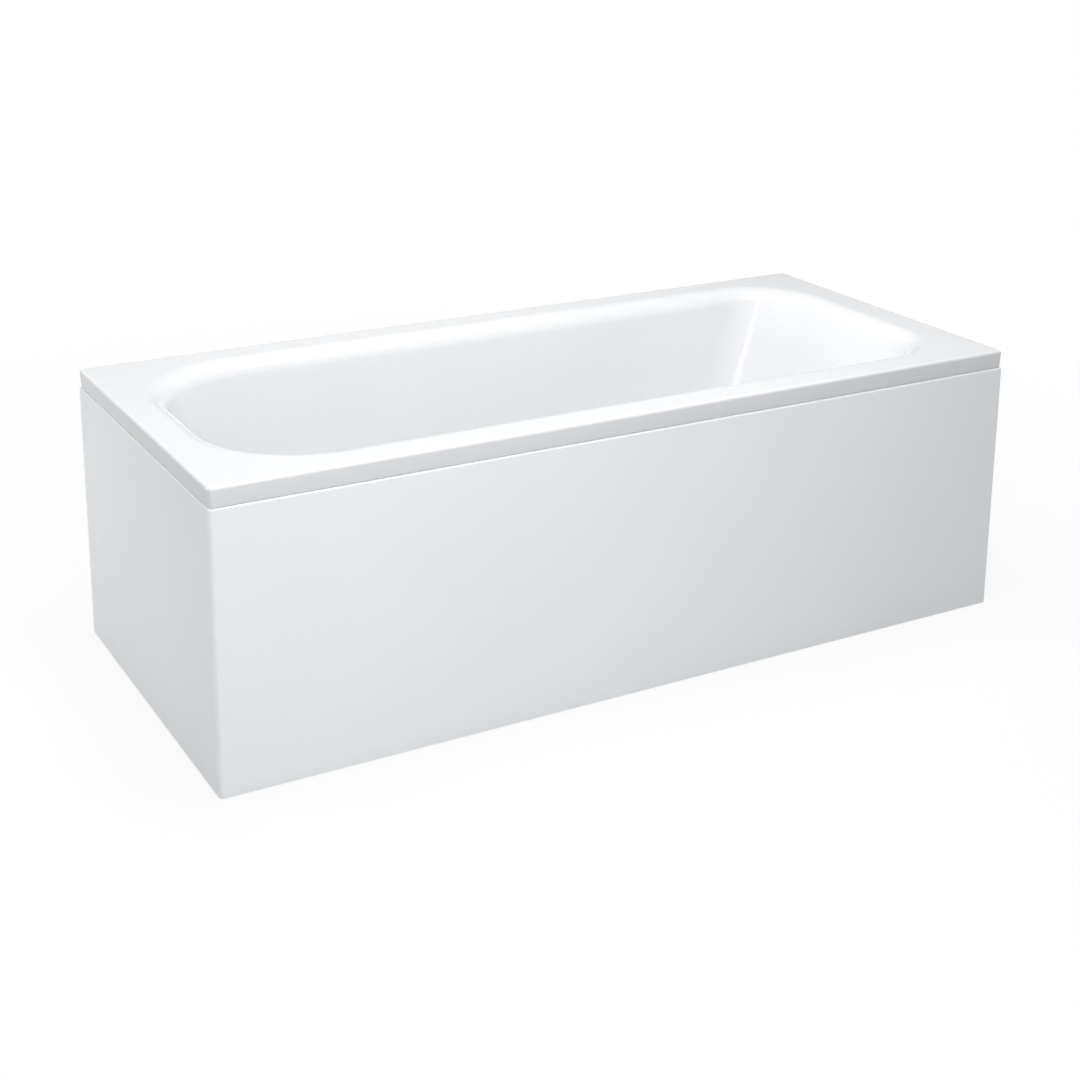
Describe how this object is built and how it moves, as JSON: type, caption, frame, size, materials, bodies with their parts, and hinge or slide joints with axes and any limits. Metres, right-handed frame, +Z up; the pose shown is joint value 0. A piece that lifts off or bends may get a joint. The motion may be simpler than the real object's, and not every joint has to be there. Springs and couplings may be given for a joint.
{
  "type": "corner bath with panel",
  "caption": "Rectangular acrylic bath for a room corner, with an L panel over the front and one end, pop-up waste, overflow, trap and levelling feet.",
  "frame": {"origin": "on the floor, under the middle of the rim's outline", "axes": "+X along the bath from the foot end to the head end, +Y to the long wall, +Z up"},
  "size_m": [1.7, 0.75, 0.56],
  "materials": {
    "acrylic": "smooth high gloss sanitary acrylic",
    "panel_acrylic": "smooth gloss acrylic sheet",
    "board": "raw chipboard with sealed edges",
    "galvanised_steel": "zinc plated, satin",
    "black_plastic": "moulded, fine texture",
    "white_plastic": "moulded polypropylene",
    "grey_hose": "flexible vinyl hose",
    "chrome_trim": "polished chrome plate",
    "black_rubber": "moulded rubber"
  },
  "bodies": {
    "bath": {"bath_shell": "acrylic", "base_board": "board", "front_batten": "board", "end_batten": "board", "panel_clips": "galvanised_steel", "rail_foot_end": "galvanised_steel", "rail_head_end": "galvanised_steel", "rail_screws": "galvanised_steel", "rail_nuts": "galvanised_steel", "wall_bracket_back_left": "galvanised_steel", "wall_bracket_back_right": "galvanised_steel", "wall_bracket_end": "galvanised_steel", "waste_flange": "chrome_trim", "waste_seals": "black_rubber", "waste_body": "white_plastic", "overflow_flange": "chrome_trim", "overflow_seal": "black_rubber", "overflow_body": "white_plastic", "overflow_hose": "grey_hose", "hose_clips": "black_plastic", "control_cable": "black_plastic", "trap_inlet_nut": "white_plastic", "outlet_nut": "white_plastic", "trap_seals": "black_rubber", "trap_body": "white_plastic", "trap_cleaning_cap": "white_plastic", "outlet_pipe": "white_plastic"},
    "panel": {"l_panel": "panel_acrylic"},
    "knob": {"overflow_knob": "chrome_trim"},
    "plug": {"plug_cap": "chrome_trim", "plug_seal": "black_rubber", "plug_stem": "galvanised_steel"},
    "leg_foot_front": {"spindle_foot_front": "galvanised_steel", "foot_cup_foot_front": "black_plastic"},
    "leg_foot_back": {"spindle_foot_back": "galvanised_steel", "foot_cup_foot_back": "black_plastic"},
    "leg_head_front": {"spindle_head_front": "galvanised_steel", "foot_cup_head_front": "black_plastic"},
    "leg_head_back": {"spindle_head_back": "galvanised_steel", "foot_cup_head_back": "black_plastic"}
  },
  "joints": [
    {"name": "panel_pull", "type": "slide", "parent": "bath", "child": "panel", "axis": [-0.7071, -0.7071, 0], "range_m": [0, 0.2]},
    {"name": "knob_turn", "type": "hinge", "parent": "bath", "child": "knob", "pos_m": [-0.74284, 0, 0.465], "axis": [0.9781, 0, 0.2079], "range_deg": [0, 110]},
    {"name": "plug_lift", "type": "slide", "parent": "bath", "child": "plug", "axis": [0, 0, 1], "range_m": [0, 0.012]},
    {"name": "leg_foot_front_level", "type": "slide", "parent": "bath", "child": "leg_foot_front", "axis": [0, 0, 1], "range_m": [-0.02, 0.015]},
    {"name": "leg_foot_back_level", "type": "slide", "parent": "bath", "child": "leg_foot_back", "axis": [0, 0, 1], "range_m": [-0.02, 0.015]},
    {"name": "leg_head_front_level", "type": "slide", "parent": "bath", "child": "leg_head_front", "axis": [0, 0, 1], "range_m": [-0.02, 0.015]},
    {"name": "leg_head_back_level", "type": "slide", "parent": "bath", "child": "leg_head_back", "axis": [0, 0, 1], "range_m": [-0.02, 0.015]}
  ],
  "couplings": [
    {"joint": "plug_lift", "follows": "knob_turn", "m_per_rad": 0.006249}
  ]
}
